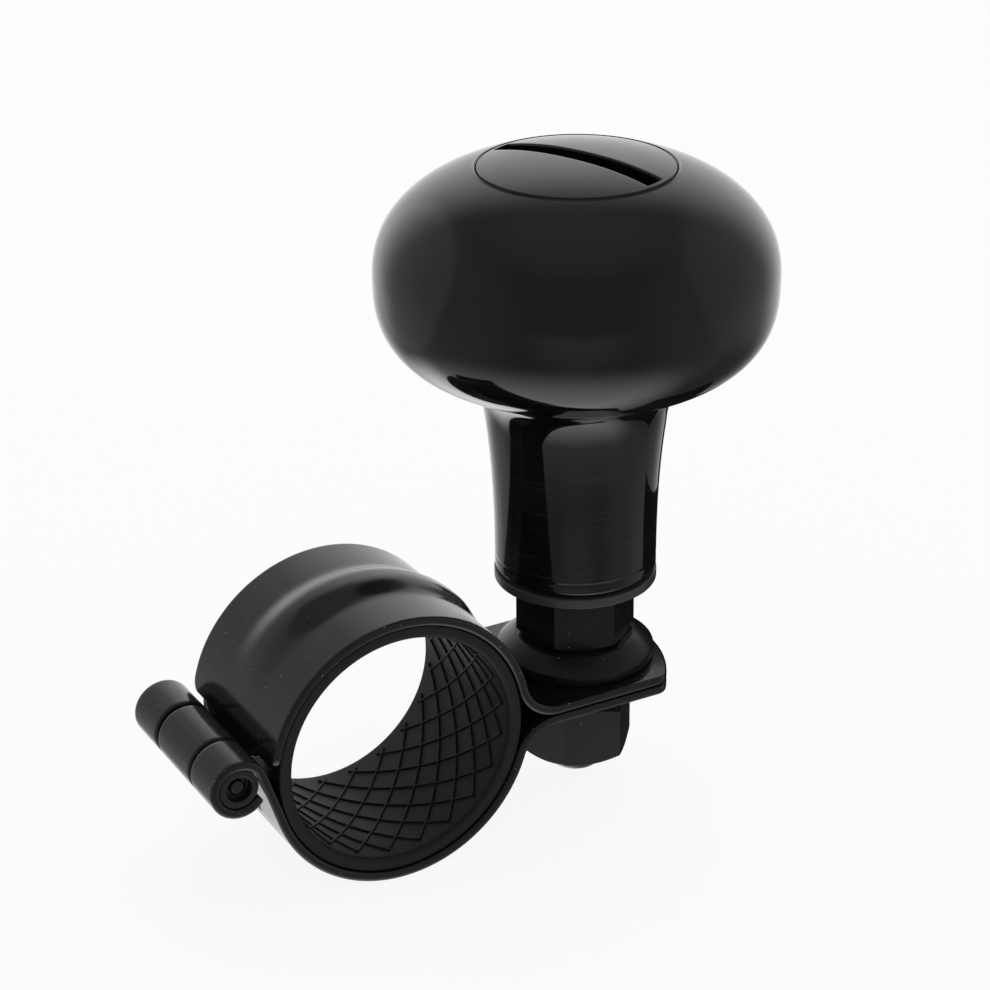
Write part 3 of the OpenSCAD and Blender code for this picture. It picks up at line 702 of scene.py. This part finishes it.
def gloss():
    """Polished black plastic: a clear gloss, finest polishing scratches, faint waves and a few motes."""
    finish = Finish("polished_plastic", Specular_IOR_Level=0.5, Coat_Roughness=0.03)
    cloud = finish.noise(14.0, 3.0)
    rubbed = finish.noise(0.5, 5.0, finish.place(scale=(0.05, 0.05, 1)))
    height = finish.node("ShaderNodeSeparateXYZ", None, {"Vector": finish.place()}, "Z")
    worn = rubbed.between(0.45, 0.75) * (1.0 - height.between((neck_top - 6) * mm, neck_top * mm))
    motes = finish.specks(1.5, 0.09, 0.12)
    tint = finish.mix(cloud, (0.0032, 0.0028, 0.003, 1), (0.0042, 0.0036, 0.0038, 1))
    tint = finish.mix(worn, tint, (0.009, 0.009, 0.0092, 1))
    finish.feed(Base_Color=finish.mix(motes, tint, (0.2, 0.2, 0.2, 1)),
                Roughness=0.05 + 0.04 * cloud + 0.04 * rubbed.between(0.55, 0.75) + 0.1 * worn + 0.3 * motes,
                Coat_Weight=0.12 - 0.12 * motes)
    finish.relief(finish.noise(9.0, 2.0) + 0.02 * rubbed, 0.02)
    return finish.material


def head_top(r):
    """Height of the head's upper curve over its equator: a superellipse."""
    return equator_z + head_top_h * np.maximum(0, 1 - (r / knob_r) ** head_top_n) ** (1 / head_top_n)


def head_under(r):
    """Height of the head's under side: a superellipse."""
    return equator_z - head_under_h * np.maximum(0, 1 - (r / knob_r) ** head_under_n) ** (1 / head_under_n)


neck_z = corners_of("knob_body")[1]
equator_z = neck_z + equator_up
neck_top = neck_z + neck_h
snap_low, snap_high = corners_of("snap_ring")[1:]
lower_top = corners_of("lower_outer_ring")[2]
upper_seat, upper_top = corners_of("upper_outer_ring")[1:]
cap_seat = head_top(cap_r) - cap_rim_t

turn = np.linspace(0, math.pi / 2, 8)
foot = np.stack([neck_r - foot_round + foot_round * np.sin(turn),
                 neck_z + foot_round - foot_round * np.cos(turn)], axis=-1)
u = np.linspace(0, 1, 160)[1:]
z = neck_z + foot_round + (neck_top - neck_z - foot_round) * u
groove = 0.08 * np.exp(-((z - neck_z - groove_up) / groove_w * 2) ** 2)
neck = np.stack([neck_r + neck_flare * u ** 2.5 - groove, z], axis=-1)
u = np.linspace(0, 1, 40)[1:, None]
blend = (1 - u) ** 2 * (neck_r + neck_flare, neck_top) \
    + 2 * u * (1 - u) * (blend_pull_r, neck_z + blend_pull_h) + u ** 2 * (blend_r, head_under(blend_r))
a = np.linspace(math.acos(blend_r / knob_r), 0, 90)[1:]
under = np.stack([knob_r * np.cos(a), head_under(knob_r * np.cos(a))], axis=-1)
mouth_r = cap_r + cap_gap + mouth_round
a = np.linspace(0, math.acos(mouth_r / knob_r), 110)[1:]
top = np.stack([knob_r * np.cos(a), head_top(knob_r * np.cos(a))], axis=-1)
lip = np.stack([mouth_r - mouth_round * np.sin(turn),
                head_top(mouth_r) + lip_rise - mouth_round * (1 - np.cos(turn))], axis=-1)[1:]
groove_r = seat_r + snap_groove
inside = [(cap_r + cap_gap, cap_seat), (room_r, cap_seat), (room_r, upper_top), (seat_r, upper_top),
          (seat_r, upper_seat), (core_r, upper_seat), (core_r, lower_top), (seat_r, lower_top),
          (seat_r, snap_high), (groove_r, snap_high), (groove_r, snap_low), (seat_r, snap_low),
          (seat_r, neck_z)]
profile = np.concatenate([foot, neck, blend, under, top, lip, inside, foot[:1]])
plastic = gloss()
knob = closed_mesh("polished_knob", [lathe(profile, 240)], plastic, sharp=40)
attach(knob, "knob")
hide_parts("knob_body")


def cap_grids():
    """Grids of the cap: rows run across the slot and columns along it. The dome's height is lowered by
    the slot's rounded profile across it, which ends shortly before the rim. The boundary of the rows is
    then carried over the rounded rim, down and round the threaded skirt."""
    face_r = cap_r - cap_round
    turn = np.linspace(0, math.pi / 2, 6)
    half = slot_w / 2
    lip_y = half + slot_round - slot_round * np.sin(turn)
    lip_drop = slot_round - slot_round * np.cos(turn)
    wide = face_r * np.cos(np.linspace(0, math.acos((half + slot_round) / face_r), 60))[:-1]
    floor_y = np.linspace(half - 0.02, 0, 8)
    y = np.concatenate([wide, lip_y, floor_y])
    drop = np.concatenate([0 * wide, lip_drop, slot_d + 0 * floor_y])
    y = np.concatenate([y, -y[-2::-1]])[:, None]
    drop = np.concatenate([drop, drop[-2::-1]])[:, None]
    stop = slot_l / 2 / face_r
    end = slot_round / face_r
    w = np.concatenate([np.linspace(0, stop - end, 60)[:-1], stop - end + end * np.sin(turn),
                        [stop + 0.001], np.linspace(stop + 0.004, 1, 5)])
    fall = np.concatenate([np.ones(59), 1 - 0 * turn, [0], np.zeros(5)])
    w = np.concatenate([-w[:0:-1], w])
    fall = np.concatenate([fall[:0:-1], fall])
    x = w * np.sqrt(np.maximum(0, face_r ** 2 - y ** 2))
    z = head_top(np.hypot(x, y)) - drop * fall
    c, s = math.cos(slot_a), math.sin(slot_a)
    top = np.stack([spindle_x + c * x - s * y, s * x + c * y, z], axis=-1)
    edge = np.concatenate([np.stack([x[:, 0], y[:, 0]], axis=-1),
                           np.stack([x[::-1, -1], y[::-1, 0]], axis=-1)]) / face_r
    rim_z = head_top(face_r)
    r = np.concatenate([face_r + cap_round * np.sin(turn),
                        [cap_r - 0.05, skirt_out_r, skirt_out_r, skirt_in_r, skirt_in_r, 0]])
    z = np.concatenate([rim_z - cap_round + cap_round * np.cos(turn),
                        np.array([0, 0, -skirt_h, -skirt_h, 0, 0]) + cap_seat])[:, None]
    x, y = edge[:, 0] * r[:, None], edge[:, 1] * r[:, None]
    side = np.stack([spindle_x + c * x - s * y, s * x + c * y, z + 0 * x], axis=-1)
    return [top, side]


cap = closed_mesh("slotted_cap", cap_grids(), plastic, sharp=40)
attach(cap, "knob")
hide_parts("knob_cap")


# Inner pieces: two ball bearings, the tube between them, the snap ring under the lower one, and the
# washer and nut on the shaft's end. Ground or plated steel, and brass cages.
def bare_metal(name, colour, roughness, grain):
    """Bare metal with turning marks round the spindle and a mottled sheen."""
    finish = Finish(name, Metallic=1.0)
    cloud = finish.noise(3.0, 4.0)
    lines = finish.noise(grain, 3.0, finish.place(scale=(0.1, 0.1, 1)))
    shade = tuple(0.8 * c for c in colour)
    finish.feed(Base_Color=finish.mix(cloud, (*shade, 1), (*colour, 1)),
                Roughness=roughness + 0.12 * cloud + 0.1 * lines)
    finish.relief(lines, 0.01)
    return finish.material


ground = bare_metal("ground_steel", (0.6, 0.61, 0.63), 0.12, 0.3)
plated = bare_metal("plated_steel", (0.5, 0.51, 0.52), 0.25, 0.4)
spring = bare_metal("spring_steel", (0.2, 0.2, 0.21), 0.3, 0.3)
brass = bare_metal("cage_brass", (0.6, 0.45, 0.2), 0.3, 0.3)
for node, metal in (("snap_ring", spring), ("bearing_spacer", plated), ("retaining_washer", plated),
                    ("retaining_nut", plated), ("lower_cage", brass), ("upper_cage", brass),
                    ("lower_outer_ring", ground), ("upper_outer_ring", ground), ("lower_balls", ground),
                    ("upper_balls", ground), ("lower_inner_ring", ground), ("upper_inner_ring", ground)):
    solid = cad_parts[node]
    solid.data.materials.clear()
    solid.data.materials.append(metal)


# Stage: a pale floor, three soft panels that light the object, and a room that only reflections see, with
# its bright and dark parts. Two cards of black felt keep those reflections off the hexagon and the tab.
camera_side = np.array([-0.4381, -0.7928, 0.4238])
camera_target = Vector((24.680, 0, 32.028)) * mm
camera_distance = 440.12 * mm
camera_azimuth = math.radians(-28.927)
camera_roll = -0.0103
camera_lens = 101.18

bpy.ops.mesh.primitive_plane_add(size=8, location=(0, 0, cad_box[0][2]))
floor = bpy.context.object
floor.name = "floor"
floor.visible_glossy = False
paper = Finish("pale_floor", Base_Color=(0.86, 0.86, 0.86, 1), Roughness=0.9)
shine = paper.node("ShaderNodeEmission", None, {"Color": (1, 1, 1, 1), "Strength": 1.0}, "Emission")
seen = paper.node("ShaderNodeLightPath", output="Is Camera Ray")
soft = Value(paper, paper.shader.outputs["BSDF"])
both = paper.node("ShaderNodeMixShader", None, {0: seen * 0.9, 1: soft, 2: shine}, "Shader")
paper.tree.links.new(both.socket, paper.tree.nodes["Material Output"].inputs["Surface"])
floor.data.materials.append(paper.material)

world = bpy.data.worlds.new("room")
world.use_nodes = True
bpy.context.scene.world = world
room = Finish("room", world.node_tree)
way = room.node("ShaderNodeTexCoord", output="Generated")
axes = room.node("ShaderNodeSeparateXYZ", None, {"Vector": way}, "X")
flat_way = Vector(camera_side[:2]).normalized()
towards = axes * flat_way[0] + axes.also("Y") * flat_way[1]
rightwards = axes * math.cos(camera_azimuth) + axes.also("Y") * math.sin(camera_azimuth)
rise = axes.also("Z")
behind = 0.0 - towards
leftwards = 0.0 - rightwards
fall = 0.0 - rise

# Each part of the room is a mask over directions: the walls beside, two screens, a dark corner low on the
# right, the wall behind, and the lit, near and far stretches of the floor
beside = rightwards.math("ABSOLUTE").between(0.4, 0.8)
left_screen = (0.44 * behind + 0.89 * leftwards + 0.1 * rise).between(0.75, 0.8)
right_screen = (0.38 * behind + 0.91 * rightwards + 0.14 * rise).between(0.66, 0.78)
dark_corner = behind.between(-0.1, 0.3) * rightwards.between(0.0, 0.2) * fall.between(0.35, 0.6)
back_wall = behind.between(0.48, 0.96)
ceiling = rise.between(0.75, 1.0)
walls = 0.2 + 0.1 * beside + 0.15 * left_screen + 0.09 * right_screen + 0.85 * back_wall + 0.1 * ceiling
lit_floor = 1.15 * fall.between(0.5, 0.97) * (towards - 1.04 * rightwards + 0.47).between(-0.3, 0.35)
near_floor = 0.15 * towards.between(0.75, 0.95) * fall.between(0.1, 0.35)
far_floor = 1.3 * behind.between(0.1, 0.45) * fall.between(0.56, 0.75) * leftwards.between(-0.05, 0.15)
strength = walls * (1.0 - 0.5 * dark_corner) + lit_floor + near_floor + far_floor

# A camera ray sees plain white, a glossy one this room, and any other a soft fill
rays = room.node("ShaderNodeLightPath", output="Is Camera Ray")
mirror = rays.also("Is Glossy Ray")
fill = 0.7 * (1.0 - rays) * (1.0 - mirror)
level = rays + mirror * (1.0 - rays) * strength + fill
background = world.node_tree.nodes["Background"]
world.node_tree.links.new(level.socket, background.inputs["Strength"])
tint = room.mix(beside * mirror, (1, 1, 1, 1), (1.0, 0.94, 0.96, 1))
world.node_tree.links.new(tint.socket, background.inputs["Color"])


def panel(name, azimuth, elevation, distance, width, height, radiance, colour):
    """Soft lamp aimed at the object. Its place is given by the angle from the camera's side, in degrees,
    to the right of it, and its power by the radiance of its face: pi times the area times that."""
    a = math.radians(azimuth) + math.atan2(camera_side[1], camera_side[0])
    e = math.radians(elevation)
    lamp = bpy.data.lights.new(name, "AREA")
    lamp.shape = "RECTANGLE"
    lamp.size = width
    lamp.size_y = height
    lamp.energy = radiance * math.pi * width * height
    lamp.color = colour
    thing = bpy.data.objects.new(name, lamp)
    away = Vector((math.cos(e) * math.cos(a), math.cos(e) * math.sin(a), math.sin(e)))
    thing.location = camera_target + away * distance
    thing.rotation_euler = away.to_track_quat("Z", "Y").to_euler()
    thing.visible_glossy = False
    bpy.context.collection.objects.link(thing)


felt = Finish("black_felt", Base_Color=(0.01, 0.01, 0.01, 1), Roughness=1.0)


def dark_card(name, azimuth, distance, middle, width, low_z, high_z):
    """Upright card of black felt, which only glossy rays see. It stands at a distance from the spindle, at
    an angle from the camera's side to the right of it, and is shifted along itself."""
    a = math.radians(azimuth) + math.atan2(camera_side[1], camera_side[0])
    away = Vector((math.cos(a), math.sin(a), 0))
    along = Vector((-away.y, away.x, 0))
    place = Vector((spindle_x, 0, (low_z + high_z) / 2)) + away * distance + along * middle
    bpy.ops.mesh.primitive_plane_add(size=1, location=place * mm)
    card = bpy.context.object
    card.name = name
    card.scale = (width * mm, (high_z - low_z) * mm, 1)
    card.rotation_euler = (math.pi / 2, 0, math.atan2(along.y, along.x))
    for rays_of in ("visible_camera", "visible_diffuse", "visible_transmission", "visible_shadow"):
        setattr(card, rays_of, False)
    card.data.materials.append(felt.material)


dark_card("card_behind", 180, 38, -13.0, 40, -22, 24)
dark_card("card_right", 128, 42, 0.0, 50, -50, 13)

panel("left_panel", -103, 6, 1.2, 1.3, 1.0, 0.55, (1.0, 0.93, 0.95))
panel("right_panel", 100, 6, 1.2, 1.1, 1.0, 0.55, (1.0, 0.96, 0.95))
panel("overhead", 160, 65, 1.4, 0.9, 0.9, 1.6, (1, 1, 1))

camera = bpy.data.objects.new("camera", bpy.data.cameras.new("camera"))
camera.data.lens = camera_lens
camera.data.sensor_width = 36
camera.data.clip_start = 0.01
back = Vector(camera_side).normalized()
right = Vector((math.cos(camera_azimuth), math.sin(camera_azimuth), 0))
up = back.cross(right)
rolled_right = right * math.cos(camera_roll) + up * math.sin(camera_roll)
rolled_up = up * math.cos(camera_roll) - right * math.sin(camera_roll)
turned = Matrix((rolled_right, rolled_up, back)).transposed().to_4x4()
camera.matrix_world = Matrix.Translation(camera_target + back * camera_distance) @ turned
bpy.context.collection.objects.link(camera)
bpy.context.scene.camera = camera
bpy.context.scene.view_settings.view_transform = "Standard"

bpy.context.view_layer.update()
